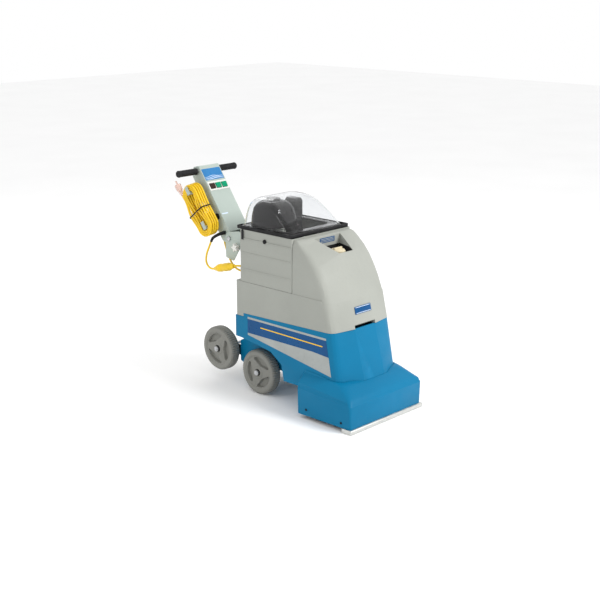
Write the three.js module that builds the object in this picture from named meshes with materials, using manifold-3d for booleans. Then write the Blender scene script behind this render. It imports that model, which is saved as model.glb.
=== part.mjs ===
// Self-contained walk-behind carpet cleaner: blue base with a brush hood and vacuum shoe, grey
// solution tank, lift-out recovery tank with a clear dome lid, leaning control console with a
// T-handle, four wheels and a hanked mains cord. Millimetres, +Z up, front of the machine at -Y.
import * as THREE from 'three';
import { mergeVertices } from 'three/addons/utils/BufferGeometryUtils.js';
import Module from 'manifold-3d';

const wasm = await Module();
wasm.setup();

// ---- driving dimensions; lengthwise stations are counted from the lid's middle -------------
const GAP = 0.35;                    // clearance where two pieces meet
const SHOE_FRONT = -511;             // foremost edge of the vacuum shoe
const REAR_END = 625;                // rearmost corner of the leaning console
const ORIGIN_SHIFT = -(SHOE_FRONT + REAR_END) / 2;

const BASE = { half: 185, front: -358, rear: 216, floor: 119, top: 374, wall: 6, step: 166 };
const LEAN_RATE = 0.19;              // how far the blue front runs forward per mm of drop
const SEAM_RISE = 0.0265;            // the joint between base and tank climbs toward the front
const PLAN = { low: 90, high: 414 };                   // heights between which the plan is drawn
const PROW = { half: 64, front: -379, rate: 0.278 };   // centre panel that stands ahead of the corners
const TAIL = { half: 94, rear: 284 };                  // chassis between the rear wheels
const CHIN = { floor: 150 };         // underside of the base over the brush hood
const HOOD = { half: 232, front: -503, rear: -206, low: 19, edge: 135, wall: 7, roof: 122 };
const SHOE = { half: 233.5, rear: -458, height: 18.6 };
const DECK_TOP = 517;                // seat of the recovery tank
const TOWER_REAR = -128.4;           // rear wall of the solution tank's front tower
const TANK = { half: 184, front: -127.6, rear: 191, floor: DECK_TOP + GAP, top: 748.6, wall: 5 };
const LID = { half: 181, front: -120, rear: 207, low: 749, top: 764, rim: 13 };
const WHEEL = { radius: 101.6, width: 50, outer: 150, bore: 8.4, front: 118, rear: 379, rearZ: 155 };
const WHEEL_TURN = { front: 112, rear: 60 };           // where the first pocket stands, in degrees
const AXLE_R = 8;
const BRUSH = { y: -360, z: 52, radius: 48.5, left: -212, right: 148 };
const PULLEY = { x0: 158, x1: 174, brushR: 32, motorR: 20 };
const MOTOR = { y: -262, z: 232, radius: 44 };
const PIVOT = { y: 380, z: 657 };    // console tilt pivot
const LEAN = 36 * Math.PI / 180;     // console leans back from the vertical
const BOX = { half: 60.4, front: -15.2, rear: 50, top: 367, sheet: 2.4 };
const CHEEK = { inner: 61.2, outer: 64.6 };
const BAR = { y: 8.4, z: 352, radius: 11, half: 177, grip: 16, gripLength: 110 };
const CORD_R = 4.5;                  // mains cord, 9 mm
const HANK = { x0: -121, x1: -80, y: 52, low: 103, high: 262, outer: 49.5, inner: 22, lean: 0.45 };
const HANK_SAG = { front: 4, rear: 12 };     // how far each run of the hank bows to the rear
const FILLER = { y: -220, floor: 672, neck: 29 };
const ROCKER = { y: BOX.front + 2.6, z: 258, width: 29, height: 27, pitch: 36 };
const SOCKET = { y: 13.4, z: 119.6 };
const BUTTON = { y: 29.8, z: 182 };
const BOOT_HOLE = { y: 14, z: 36 };

const COLOURS = {
  blue: ['#0b80b4', 0.5, 0], grey: ['#c4c6bf', 0.55, 0], rim: ['#161616', 0.5, 0],
  clear: ['#dfe6e8', 0.05, 0], smoke: ['#3a3536', 0.1, 0], steel: ['#b9bbbb', 0.35, 0.9],
  alloy: ['#c9cac8', 0.4, 0.8], sheet: ['#bcc8c2', 0.45, 0.1], wheel: ['#a3a39d', 0.7, 0],
  rubber: ['#151515', 0.8, 0], yellow: ['#fac815', 0.5, 0], label: ['#00508f', 0.4, 0],
  panel: ['#2f74c8', 0.4, 0], green: ['#009670', 0.4, 0], brown: ['#2d2220', 0.4, 0],
  white: ['#e8e8e2', 0.4, 0], beige: ['#cfc3a4', 0.6, 0], bristle: ['#2a4f86', 0.9, 0],
};

// ---- geometry helpers -------------------------------------------------------------------------
// Merges shared corners, drops collapsed triangles and turns the faces outward.
function closed(geometry) {
  const bare = geometry.clone();
  bare.deleteAttribute('normal');
  bare.deleteAttribute('uv');
  const merged = mergeVertices(bare, 1e-4);
  const at = merged.attributes.position.array;
  const old = merged.index.array;
  const kept = [];
  let volume = 0;
  for (let i = 0; i < old.length; i += 3) {
    const [a, b, c] = [old[i], old[i + 1], old[i + 2]];
    if (a === b || b === c || a === c) continue;
    kept.push(a, b, c);
    const [p, q, r] = [a, b, c].map((k) => new THREE.Vector3(at[3 * k], at[3 * k + 1], at[3 * k + 2]));
    volume += p.dot(q.cross(r));
  }
  if (volume < 0) kept.reverse();
  merged.setIndex(kept);
  return merged;
}

function toSolid(geometry) {
  const mesh = closed(geometry);
  return new wasm.Manifold(new wasm.Mesh({
    numProp: 3,
    vertProperties: new Float32Array(mesh.attributes.position.array),
    triVerts: new Uint32Array(mesh.index.array),
  }));
}

function fromSolid(solid) {
  const mesh = solid.getMesh();
  const geometry = new THREE.BufferGeometry();
  geometry.setAttribute('position', new THREE.BufferAttribute(mesh.vertProperties, 3));
  geometry.setIndex(new THREE.BufferAttribute(mesh.triVerts, 1));
  return geometry;
}

const join = (first, ...rest) => fromSolid(rest.reduce((s, g) => s.add(toSolid(g)), toSolid(first)));
const cut = (first, ...rest) => fromSolid(rest.reduce((s, g) => s.subtract(toSolid(g)), toSolid(first)));
const common = (a, b) => fromSolid(toSolid(a).intersect(toSolid(b)));

function box(x0, x1, y0, y1, z0, z1) {
  const geometry = new THREE.BoxGeometry(x1 - x0, y1 - y0, z1 - z0);
  return geometry.translate((x0 + x1) / 2, (y0 + y1) / 2, (z0 + z1) / 2);
}

// Closed outline through [u, v, radius] corners; a corner with a radius is rounded.
function outline(corners) {
  const shape = new THREE.Shape();
  const points = corners.map(([u, v]) => new THREE.Vector2(u, v));
  const count = corners.length;
  corners.forEach(([u, v, radius = 0], i) => {
    const before = points[(i + count - 1) % count];
    const after = points[(i + 1) % count];
    const here = points[i];
    const start = here.clone().add(before.clone().sub(here).setLength(radius));
    const end = here.clone().add(after.clone().sub(here).setLength(radius));
    if (i === 0) shape.moveTo(start.x, start.y);
    else shape.lineTo(start.x, start.y);
    if (radius) shape.quadraticCurveTo(u, v, end.x, end.y);
  });
  shape.closePath();
  return shape;
}

function circle(u, v, radius) {
  const shape = new THREE.Shape();
  shape.absarc(u, v, radius, 0, 2 * Math.PI);
  return shape;
}

function extrude(shape, depth, basis, segments = 4) {
  const geometry = new THREE.ExtrudeGeometry(shape, { depth, bevelEnabled: false, curveSegments: segments });
  const [u, v, w] = basis.map((axis) => new THREE.Vector3(...axis));
  return geometry.applyMatrix4(new THREE.Matrix4().makeBasis(u, v, w));
}

// Side outline (y, z) extruded across the machine from x0 to x1.
const acrossX = (shape, x0, x1, segments) =>
  extrude(shape, x1 - x0, [[0, 1, 0], [0, 0, 1], [1, 0, 0]], segments).translate(x0, 0, 0);
// Front outline (x, z) extruded from y0 to y1.
const alongY = (shape, y0, y1, segments) =>
  extrude(shape, y1 - y0, [[1, 0, 0], [0, 0, 1], [0, -1, 0]], segments).translate(0, y1, 0);
// Plan outline (x, y) extruded from z0 to z1.
const upZ = (shape, z0, z1, segments) =>
  extrude(shape, z1 - z0, [[1, 0, 0], [0, 1, 0], [0, 0, 1]], segments).translate(0, 0, z0);

// Turned piece: [radius, distance] profile about the X or Z axis through the origin.
function turned(profile, axis, segments = 24) {
  const geometry = new THREE.LatheGeometry(profile.map(([r, t]) => new THREE.Vector2(r, t)), segments);
  return axis === 'x' ? geometry.rotateZ(-Math.PI / 2) : geometry.rotateX(Math.PI / 2);
}

const rodX = (radius, x0, x1, y, z, segments = 12) =>
  turned([[0, x0], [radius, x0], [radius, x1], [0, x1]], 'x', segments).translate(0, y, z);

// Level ring with rounded corners: front pair and rear pair each have their own radius.
function ring(z, half, y0, y1, frontR, rearR = frontR, middle = 0, steps = 3) {
  const corners = [
    [middle + half - frontR, y0 + frontR, frontR, -90], [middle + half - rearR, y1 - rearR, rearR, 0],
    [middle - half + rearR, y1 - rearR, rearR, 90], [middle - half + frontR, y0 + frontR, frontR, 180],
  ];
  return corners.flatMap(([cx, cy, radius, start]) => Array.from({ length: steps + 1 }, (_, i) => {
    const angle = THREE.MathUtils.degToRad(start + 90 * i / steps);
    return [cx + radius * Math.cos(angle), cy + radius * Math.sin(angle), z];
  }));
}

// Level ring whose front is a flat centre panel with a facet on each side of it.
function prow(z, half, front, rear, frontR, rearR, panel, panelFront) {
  const facet = new THREE.Vector2(half - panel, front - panelFront).setLength(frontR);
  const curve = new THREE.QuadraticBezierCurve(new THREE.Vector2(half - facet.x, front - facet.y),
    new THREE.Vector2(half, front), new THREE.Vector2(half, front + frontR));
  const corner = curve.getPoints(4).map((point) => [point.x, point.y, z]);
  const stern = ring(z, half, front, rear, 1, rearR).slice(4, 8);
  const right = [[panel, panelFront, z], ...corner, ...stern];
  return [...right, ...right.map(([x, y]) => [-x, y, z]).reverse()];
}

// Ring tilted so that it climbs by rate per mm toward the rear, counted from station y0.
const lifted = (points, rate, y0) => points.map(([x, y, z]) => [x, y, z + rate * (y - y0)]);

// Skin through a stack of rings that all have the same number of points; plane names the two
// coordinates in which each end ring is flat.
function loft(rings, plane = [0, 1]) {
  const size = rings[0].length;
  const index = [];
  for (let k = 0; k + 1 < rings.length; k += 1) {
    for (let i = 0; i < size; i += 1) {
      const [a, b] = [k * size + i, k * size + (i + 1) % size];
      index.push(a, b, b + size, a, b + size, a + size);
    }
  }
  const last = (rings.length - 1) * size;
  for (const [end, first] of [[rings[0], 0], [rings.at(-1), last]]) {
    const flat = end.map((point) => new THREE.Vector2(point[plane[0]], point[plane[1]]));
    const turn = THREE.ShapeUtils.area(flat);
    for (const [a, b, c] of THREE.ShapeUtils.triangulateShape(flat, [])) {
      const same = THREE.ShapeUtils.area([flat[a], flat[b], flat[c]]) * turn > 0;
      index.push(...(same === (first > 0) ? [a, b, c] : [a, c, b]).map((k) => k + first));
    }
  }
  const geometry = new THREE.BufferGeometry();
  geometry.setAttribute('position', new THREE.Float32BufferAttribute(rings.flat(2), 3));
  geometry.setIndex(index);
  return geometry;
}

// Round tube along a smooth curve through the points.
function tube(points, radius, steps, sides = 8) {
  const path = new THREE.CatmullRomCurve3(points.map((p) => new THREE.Vector3(...p)));
  const section = new THREE.Shape(Array.from({ length: sides }, (_, i) => {
    const angle = 2 * Math.PI * i / sides;
    return new THREE.Vector2(radius * Math.cos(angle), radius * Math.sin(angle));
  }));
  return new THREE.ExtrudeGeometry(section, { steps, extrudePath: path, bevelEnabled: false });
}

function piece(name, geometry, finish) {
  const [color, roughness, metalness] = COLOURS[finish];
  const material = new THREE.MeshStandardMaterial({ color, roughness, metalness });
  const mesh = new THREE.Mesh(closed(geometry), material);
  mesh.name = name;
  return mesh;
}

const SIDES = [['left', -1], ['right', 1]];
// shut-off float under the separator bowl
const FLOAT = { x: -62, y: 96, pipeR: 21, cageR: 26, ball: 19.5 };

// ---- vacuum hose route, shared by the hose and by the holes it passes through ------------------
const HOSE = [[0, -477, SHOE.height + GAP], [0, -477, 76], [0, -458, 124], [0, -412, 156], [0, -358, 184],
  [0, -312, 235], [0, -300, 300], [0, -300, 371]];
const HOSE_R = 15;

// ---- base: blue open tray with wheel pockets, brush hood, shoe --------------------------------
// Plan of the base between two heights; it leans forward going down. grow widens it all round.
function planBlock(grow, z0, z1) {
  return loft([z0, z1].map((z) => prow(z, BASE.half + grow, BASE.front - grow - (BASE.top - z) * LEAN_RATE,
    BASE.rear + 120, 34 + grow, 2, PROW.half, PROW.front - grow - (BASE.top - z) * PROW.rate)));
}

const seam = (y) => BASE.top + SEAM_RISE * (BASE.step - y);

function wheelPocket(side) {
  const arch = outline([[-84, 90], [-82, 137], [-66, 190, 24], [0, 232, 40], [70, 243, 24], [180, 260],
    [240, 264], [240, 90]]);
  const pocket = acrossX(arch, TAIL.half, 150, 5);
  const inset = 148;                  // the slanting side meets the floor this far out
  const low = BASE.floor - 20;
  const outer = [[-84, low], [-66, 190], [0, 235], [70, 246], [180, 261], [240, 264], [240, low]];
  const shoulder = [[-84, low], [-80, 172], [-8, 222], [66, 238], [180, 254], [240, 258], [240, low]];
  const at = (x, list) => list.map(([y, z]) => [x, y, z]);
  const bevel = loft([at(inset, shoulder), at(BASE.half + 5, outer)], [1, 2]);
  const whole = join(pocket, bevel);
  return side > 0 ? whole : closed(whole.clone().scale(-1, 1, 1));
}

function baseShell() {
  const roof = PLAN.high;
  const side = outline([[BASE.rear, BASE.floor, 6], [BASE.rear, BASE.top - 15], [BASE.step, BASE.top - 15],
    [BASE.step, BASE.top], [-470, seam(-470)], [-470, CHIN.floor], [HOOD.rear + 1, CHIN.floor],
    [HOOD.rear + 1, BASE.floor]]);
  const block = acrossX(side, -BASE.half, BASE.half);
  const plan = planBlock(0, PLAN.low, PLAN.high);
  const tail = acrossX(outline([[196, BASE.floor], [228, 99, 12], [262, 100], [TAIL.rear, 110, 6],
    [TAIL.rear, 204, 8], [262, 216, 8], [196, 216]]), -TAIL.half, TAIL.half);
  const front = common(planBlock(-BASE.wall, PLAN.low, PLAN.high + 1),
    box(-178, 178, -470, -96, CHIN.floor + BASE.wall, roof));
  const inner = [
    box(-178, 178, -200, -96, BASE.floor + BASE.wall, roof),
    box(-178, 178, -97, BASE.rear - BASE.wall, 272, roof),
    box(-82, 82, -97, BASE.rear - BASE.wall, BASE.floor + BASE.wall, 273),
    box(-82, 82, 200, TAIL.rear - BASE.wall, BASE.floor + BASE.wall, 202),
  ];
  const beltSlot = box(150, 181, -392, -206, CHIN.floor - 5, CHIN.floor + BASE.wall + 1);
  return cut(join(common(block, plan), tail), front, ...inner, wheelPocket(-1), wheelPocket(1), beltSlot,
    tube(HOSE, HOSE_R + 3, 20, 8));
}

function brushHood() {
  const { half, front, rear, low, edge } = HOOD;
  const shell = loft([
    ring(low, half - 3, front + 2, rear, 10, 4),
    lifted(ring(edge - 18, half, front, rear, 12, 4), 0.06, front),
    lifted(ring(edge - 15, half - 2.5, front + 2.5, rear, 12, 4), 0.06, front),
    lifted(ring(edge - 4, half - 4, front + 5, rear, 16, 4), 0.09, front),
    lifted(ring(edge + 9, half - 16, front + 22, rear, 24, 6), 0.085, front),
    lifted(ring(172, 196, -438, rear, 38, 6), 0.055, front),
    lifted(ring(181, 189, -418, rear, 36, 6), 0.035, front),
    lifted(ring(192, 187, -300, rear, 30, 6), 0.03, front),
  ]);
  const wall = HOOD.wall;
  const chamber = box(-half + wall, half - wall, front + wall, rear - wall, low - 5, HOOD.roof);
  const nest = common(planBlock(1.6, PLAN.low, PLAN.high),
    box(-half, half, -500, rear + 1, CHIN.floor - 1.6, 260));
  const beltSlot = box(150, 181, -410, rear - wall, HOOD.roof - 1, CHIN.floor + 1);
  return cut(shell, chamber, nest, beltSlot, tube(HOSE, HOSE_R + 3, 20, 8));
}

function vacuumShoe() {
  const bar = acrossX(outline([[SHOE_FRONT, 3], [SHOE_FRONT + 5, 0], [SHOE.rear, 0], [SHOE.rear, SHOE.height],
    [SHOE_FRONT + 3, SHOE.height], [SHOE_FRONT, SHOE.height - 4]]), -SHOE.half, SHOE.half);
  const slot = box(-224, 224, SHOE_FRONT + 7, SHOE_FRONT + 12, -1, 12);
  const plenum = acrossX(outline([[SHOE_FRONT + 7, 8], [SHOE.rear - 5, 11], [SHOE.rear - 5, 15],
    [SHOE_FRONT + 7, 15]]), -224, 224);
  const outlet = upZ(circle(0, HOSE[0][1], 11), 14, SHOE.height + 1);
  return cut(bar, slot, plenum, outlet);
}

// ---- running gear ------------------------------------------------------------------------------
// One of the three pockets in the wheel's face: wide round the rim, dipping toward the hub.
function kidney(middle) {
  const steps = 8;
  const span = THREE.MathUtils.degToRad(46);
  const rim = [];
  const hub = [];
  for (let i = 0; i <= steps; i += 1) {
    const share = 2 * i / steps - 1;
    const angle = THREE.MathUtils.degToRad(middle) + span * share;
    const near = 35 + 26 * share * share;
    rim.push(new THREE.Vector2(71 * Math.cos(angle), 71 * Math.sin(angle)));
    hub.push(new THREE.Vector2(near * Math.cos(angle), near * Math.sin(angle)));
  }
  return new THREE.Shape([...rim, ...hub.reverse()]);
}

function wheelBody(turn) {
  const { radius, width, bore } = WHEEL;
  const half = width / 2;
  const body = turned([
    [bore, -half + 4], [26, -half + 4], [74, -half + 9], [78, -half], [94, -half], [radius, -half + 8],
    [radius, half - 8], [94, half], [78, half], [74, half - 5], [28, half - 3], [24, half], [bore, half],
    [bore, -half + 4],
  ], 'x', 28);
  const pockets = [0, 120, 240].map((step) => acrossX(kidney(turn + step), half - 16, half + 5, 4));
  return cut(body, ...pockets);
}

function axleWithNuts(y, z) {
  const nut = (x0, x1) => rodX(13, x0, x1, y, z, 6);
  const end = WHEEL.outer + 2;
  return join(rodX(AXLE_R, -end - 11, end + 11, y, z), nut(-end - 8, -end), nut(end, end + 8));
}

function frontAxleBlock(side) {
  const block = box(58, 86, WHEEL.front - 20, WHEEL.front + 20, WHEEL.radius - 14, BASE.floor - GAP);
  const bored = cut(block, rodX(AXLE_R + 0.4, 50, 95, WHEEL.front, WHEEL.radius));
  return side > 0 ? bored : closed(bored.clone().scale(-1, 1, 1));
}

function rearAxleBracket(side) {
  const y0 = TAIL.rear + GAP;
  const plate = acrossX(outline([[y0, 128], [y0, 176], [WHEEL.rear - 6, WHEEL.rearZ + 22, 10],
    [WHEEL.rear + 20, WHEEL.rearZ + 18, 14], [WHEEL.rear + 20, WHEEL.rearZ - 18, 14],
    [WHEEL.rear - 6, WHEEL.rearZ - 22, 10]]), 78, 84, 4);
  const flange = box(56, 80, y0, y0 + 5, 128, 176);
  const bored = cut(join(plate, flange), rodX(AXLE_R + 0.4, 70, 90, WHEEL.rear, WHEEL.rearZ));
  return side > 0 ? bored : closed(bored.clone().scale(-1, 1, 1));
}

// ---- scrubbing and pumping parts inside the base ----------------------------------------------
function brushRoller() {
  const { y, z, radius, left, right } = BRUSH;
  const body = turned([[0, left - 6], [9, left - 6], [9, left], [20, left], [20, left + 4], [radius, left + 6],
    [radius, right - 6], [20, right - 4], [20, right], [9, right], [9, right + 9], [0, right + 9]], 'x', 20);
  return body.translate(0, y, z);
}

function brushBearing(side) {
  const [x0, x1] = side < 0 ? [-HOOD.half + HOOD.wall + GAP, BRUSH.left - 0.4] : [PULLEY.x1 + 3, PULLEY.x1 + 15];
  const plate = box(x0, x1, BRUSH.y - 18, BRUSH.y + 18, BRUSH.z - 20, HOOD.roof - GAP);
  return cut(plate, rodX(9.4, x0 - 1, x1 + 1, BRUSH.y, BRUSH.z));
}

function pulley(radius, shaftEnd, y, z) {
  const { x0, x1 } = PULLEY;
  const body = turned([[0, x0], [radius + 3, x0], [radius + 3, x0 + 1.6], [radius, x0 + 2], [radius, x1 - 2],
    [radius + 3, x1 - 1.6], [radius + 3, x1], [9, x1], [9, shaftEnd], [0, shaftEnd]], 'x', 18);
  return body.translate(0, y, z);
}

// Belt loop wrapped on two pulleys, its thickness outside the pulleys' faces.
function beltLoop(clear) {
  const [big, small] = [PULLEY.brushR + clear, PULLEY.motorR + clear];
  const [dy, dz] = [MOTOR.y - BRUSH.y, MOTOR.z - BRUSH.z];
  const along = Math.atan2(dz, dy);
  const wrap = Math.acos((big - small) / Math.hypot(dy, dz));
  const loop = new THREE.Shape();
  loop.absarc(MOTOR.y, MOTOR.z, small, along - wrap, along + wrap, false);
  loop.absarc(BRUSH.y, BRUSH.z, big, along + wrap, along - wrap + 2 * Math.PI, false);
  loop.closePath();
  return loop;
}

function driveBelt() {
  const [x0, x1] = [PULLEY.x0 + 2.6, PULLEY.x1 - 2.6];
  return cut(acrossX(beltLoop(3.6), x0, x1, 10), acrossX(beltLoop(0.7), x0 - 1, x1 + 1, 10));
}

function brushMotor() {
  const can = turned([[0, 22], [30, 22], [MOTOR.radius, 34], [MOTOR.radius, 128], [30, 138], [16, 140],
    [16, 150], [0, 150]], 'x', 18).translate(0, MOTOR.y, MOTOR.z);
  return join(can, box(40, 122, MOTOR.y - 40, MOTOR.y + 40, CHIN.floor + BASE.wall + GAP, MOTOR.z - 20));
}

function vacuumMotor() {
  return turned([[0, 0], [66, 0], [70, 6], [70, 46], [52, 54], [46, 60], [46, 112], [38, 120],
    [0, 120]], 'z', 18)
    .translate(-96, -168, CHIN.floor + 28);
}

function solutionPump() {
  const head = box(-46, 40, 20, 84, BASE.floor + BASE.wall + GAP, 196);
  const motor = turned([[0, 0], [32, 0], [32, 92], [26, 98], [0, 98]], 'z', 14).rotateX(-Math.PI / 2);
  return join(head, motor.translate(-4, 80, 164));
}

function sprayBar() {
  const [y, z] = [-440, 96];
  const fan = [[0, -20], [9, -20], [5, 0], [0, 0]];
  const nozzles = [-140, 0, 140].map((x) => turned(fan, 'z', 10).translate(x, y, z));
  const clips = [-70, 70].map((x) => box(x - 8, x + 8, y - 9, y + 9, z + 2, HOOD.roof - GAP));
  return join(rodX(7, -196, 196, y, z, 10), ...nozzles, ...clips);
}

// ---- grey tanks --------------------------------------------------------------------------------
// Solution tank from the front joint up: height, corner station, half width, corner radius, then
// the centre panel's station and half width.
const SLOPE = [[360, -362.4, 184.5, 30, -386.5, 65], [506, -328, 184.5, 32, -351, 59],
  [509, -326, 182.5, 32, -349.5, 59], [566, -304, 182, 34, -322, 54], [610, -282, 181.5, 36, -303, 50],
  [652, -255, 181, 36, -287, 45], [689, -221, 180, 32, -271, 42], [722, -180, 178, 18, -204, 46],
  [738, -157, 173, 6, -168, 50], [743, -145, 168, 4, -152, 52]];

function slopeRings(inset) {
  return SLOPE.map(([z, y, half, radius, panelY, panel]) => prow(z, half - inset, y + inset,
    TOWER_REAR - inset, Math.max(radius - inset, 1), 2, panel, panelY + inset));
}

function solutionTank() {
  const { top, step } = BASE;
  const deckFront = -300;
  const deck = loft([top - 14, DECK_TOP].map((z) => ring(z, 184.5, deckFront, 214, 2, 10)));
  const belowSeam = acrossX(outline([[-450, top - 30], [step + GAP, top - 30], [step + GAP, top + GAP],
    [-450, seam(-450) + GAP]]), -200, 200);
  const throat = new THREE.Shape([[-81, -158], [81, -158], [42, -268], [-42, -268]].map(
    ([x, y]) => new THREE.Vector2(x, y)));
  const recess = upZ(throat, FILLER.floor, 780);
  const neck = upZ(circle(0, FILLER.y, FILLER.neck), 640, FILLER.floor + 1, 8);
  const notch = box(-64, 64, -410, -347, top - 20, 404);
  const fluid = slopeRings(6).slice(0, 7);
  const foot = prow(397, 178.5, -347.6, TOWER_REAR - 6, 24, 2, 63, -371.5);
  fluid[0] = foot.map(([x, y]) => [x, y, seam(y) + 8]);
  fluid[6].forEach((point) => { point[2] -= 7; });
  const well = cut(loft(fluid), box(-93, 93, -290, -120, 656, 780), box(-71, 71, -420, -340, 300, 411));
  const under = acrossX(outline([[-290, seam(-290) + 8], [206, seam(206) + 8], [206, DECK_TOP - 6],
    [-290, DECK_TOP - 6]]), -176, 176);
  return cut(join(loft(slopeRings(0)), deck), belowSeam, recess, notch, well, under, neck);
}

function fillCap() {
  const lid = turned([[0, -14], [26, -14], [26, 0], [33, 0], [33, 16], [29, 21], [14, 23],
    [0, 23]], 'z', 18);
  const bar = box(-24, 24, -4, 4, 21, 29);
  return join(lid, bar);
}

function recoveryTank() {
  const { front, rear, floor, top, wall } = TANK;
  const levels = [[floor, 182.5], [floor + 4, 184], [577, 184], [583, 182.4], [646, 182.4], [652, 184],
    [708, 184], [714, 181.6], [top, 181.6]];
  const outer = loft(levels.map(([z, half]) => ring(z, half, front, rear, 5, 14)));
  const inner = loft([floor + wall, top + 1].map((z) => ring(z, 176, front + wall, rear - wall, 4, 10)));
  const studs = [[-188, -180], [180, 188]].map(([x0, x1]) => rodX(7.5, x0, x1, 31, 715, 14));
  return cut(join(outer, ...studs), inner);
}

// Level ring that follows the lid's rim, inset from it.
function lidRing(z, inset, corner) {
  const { half, front, rear } = LID;
  return ring(z, half - inset, front + inset, rear - inset, corner);
}

function lidFrame() {
  const { low, top, rim } = LID;
  const outer = loft([lidRing(low, 2, 6), lidRing(low + 3, 0, 7), lidRing(top - 2, 0, 7),
    lidRing(top, 2, 6)]);
  const seat = loft([lidRing(low + 7, rim - 6, 5), lidRing(top + 1, rim - 6, 5)]);
  const hole = loft([lidRing(low - 1, rim, 5), lidRing(top + 1, rim, 5)]);
  return cut(outer, seat, hole);
}

function lidPlate() {
  const { low, top, rim } = LID;
  const edge = rim - 6 + GAP;
  const plate = loft([lidRing(low + 7 + GAP, edge, 5), lidRing(top - 2, edge, 5)]);
  return cut(plate, loft([ring(low, 138, -58, 178, 40), ring(top + 1, 138, -58, 178, 40)]));
}

const DOME = [[762.4, 163, -100, 196, 24], [770, 159, -92, 194, 24], [800, 155, -60, 191, 24],
  [832, 149, -22, 186, 26], [858, 140, 16, 178, 28], [874, 126, 46, 166, 28], [882, 104, 70, 148, 24]];

function dome() {
  const skin = (inset, drop) => DOME.map(([z, half, y0, y1, r]) =>
    ring(z - drop, half - inset, y0 + inset * 1.3, y1 - inset, r - inset));
  return cut(loft(skin(0, 0)), loft(skin(3, 2.6)));
}

// Inverted bowl over the shut-off float, with a low flat cap: height, half width, y0, y1, corner.
const BOWL = [[762.4, 84, 12, 182, 52], [800, 82, 14, 181, 52], [838, 74, 22, 173, 48], [858, 60, 36, 160, 42],
  [867, 44, 52, 148, 38], [869, 36, 62, 136, 34], [870, 31, 70, 132, 30], [877, 30, 71, 131, 29]];

function separatorBowl() {
  const skin = (inset, drop) => BOWL.map(([z, half, y0, y1, r]) =>
    ring(z - drop, half - inset, y0 + inset, y1 - inset, r - inset, r - inset, FLOAT.x));
  return cut(loft(skin(0, 0)), loft(skin(2.6, 3)));
}

function inletDuct() {
  const outer = loft([ring(548, 26, 62, 132, 10, 10, 60), ring(852, 26, 62, 132, 10, 10, 60),
    ring(864, 20, 68, 126, 8, 8, 60)]);
  const inner = loft([ring(540, 23, 65, 129, 8, 8, 60), ring(840, 23, 65, 129, 8, 8, 60)]);
  return cut(outer, inner, box(25, 60, 72, 122, 806, 836));
}

function standpipe() {
  const { x, y, pipeR } = FLOAT;
  const profile = [[pipeR, 640], [pipeR, 846], [pipeR - 3, 846], [pipeR - 3, 640], [pipeR, 640]];
  return turned(profile, 'z', 16).translate(x, y, 0);
}

function floatCage() {
  const r = FLOAT.cageR;
  const cup = turned([[0, 566], [r, 566], [r, 654], [r - 4.5, 654], [r - 4.5, 570], [0, 570],
    [0, 566]], 'z', 16);
  const windows = [box(-40, 40, -13, 13, 578, 622), box(-13, 13, -40, 40, 578, 622)];
  return cut(cup, ...windows).translate(FLOAT.x, FLOAT.y, 0);
}

// ---- handle frame and console ------------------------------------------------------------------
function handleFrame() {
  const { inner, outer } = CHEEK;
  const y0 = BASE.rear + GAP;
  const head = outline([[403, 567, 4], [406, 640], [406, 683, 24], [306, 700, 18], [296, 642, 6], [326, 599],
    [353, 557, 4]]);
  const boreHole = (x0, x1) => rodX(7.4, x0, x1, PIVOT.y, PIVOT.z);
  const cheeks = [[-outer, -inner], [inner, outer]].map(([x0, x1]) => acrossX(head, x0, x1));
  const post = outline([[y0, 218], [y0, 372], [296, 580], [304, 668], [344, 668], [344, 634], [330, 600],
    [258, 372], [258, 218]]);
  const rails = [-25, 22].map((x) => acrossX(post, x, x + 3));
  const foot = box(-54, 54, y0, y0 + 4, 218, 356);
  const channel = box(-inner + 2, inner - 2, 309, 339, 632, 663);
  const tie = cut(box(-inner - 1, inner + 1, 306, 342, 636, 666), channel);
  return cut(join(cheeks[0], cheeks[1], rails[0], rails[1], foot, tie), boreHole(-70, -55), boreHole(55, 70));
}

// The console's own frame: Z runs up along it, -Y faces the operator's instruments side.
const switchSlot = (x, halfWide, halfHigh, y0, y1) =>
  box(x - halfWide, x + halfWide, y0, y1, ROCKER.z - halfHigh, ROCKER.z + halfHigh);

function consoleShell() {
  const { half, front, rear, top, sheet } = BOX;
  const side = outline([[front, 26, 4], [front, top, 5], [19, top + 14, 8], [rear, top - 17, 6],
    [rear, 12, 14], [16, -26, 14], [-13, -22, 12]]);
  const outer = acrossX(side, -half, half, 4);
  const hollow = acrossX(outline([[front + sheet, -40], [front + sheet, top - 3], [18, top + 11],
    [rear - 2, top - 19],
    [rear - 2, top - 22], [rear + 9, top - 22], [rear + 9, -40]]), -half + sheet, half - sheet);
  const window = switchSlot(0, 53.5, 15, front - 2, front + sheet + 2);
  const bolt = rodX(7.4, -70, 70, 0, 0);
  const bar = rodX(BAR.radius + 0.4, -70, 70, BAR.y, BAR.z, 16);
  const belowFront = box(-half + sheet, half - sheet, front - 1, front + sheet + 1, -40, 27);
  const boot = rodX(9.4, -70, -50, BOOT_HOLE.y, BOOT_HOLE.z);
  const socket = rodX(12.5, -70, -50, SOCKET.y, SOCKET.z);
  const button = rodX(7, -70, -50, BUTTON.y, BUTTON.z);
  return cut(outer, hollow, window, bolt, bar, belowFront, boot, socket, button);
}

function consoleRearCover() {
  const { half, rear, top, sheet } = BOX;
  const edge = half - sheet - GAP;
  return box(-edge, edge, rear - 2, rear, 14, top - 22 - GAP);
}

function switchPlate() {
  const face = BOX.front - GAP;
  const plate = box(-57.5, 57.5, face - 2, face, 236, 281);
  const { width, height, pitch } = ROCKER;
  const slots = [-pitch, 0, pitch].map((x) =>
    switchSlot(x, width / 2 + 0.6, height / 2 + 0.6, face - 5, face + 2));
  return cut(plate, ...slots);
}

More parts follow.
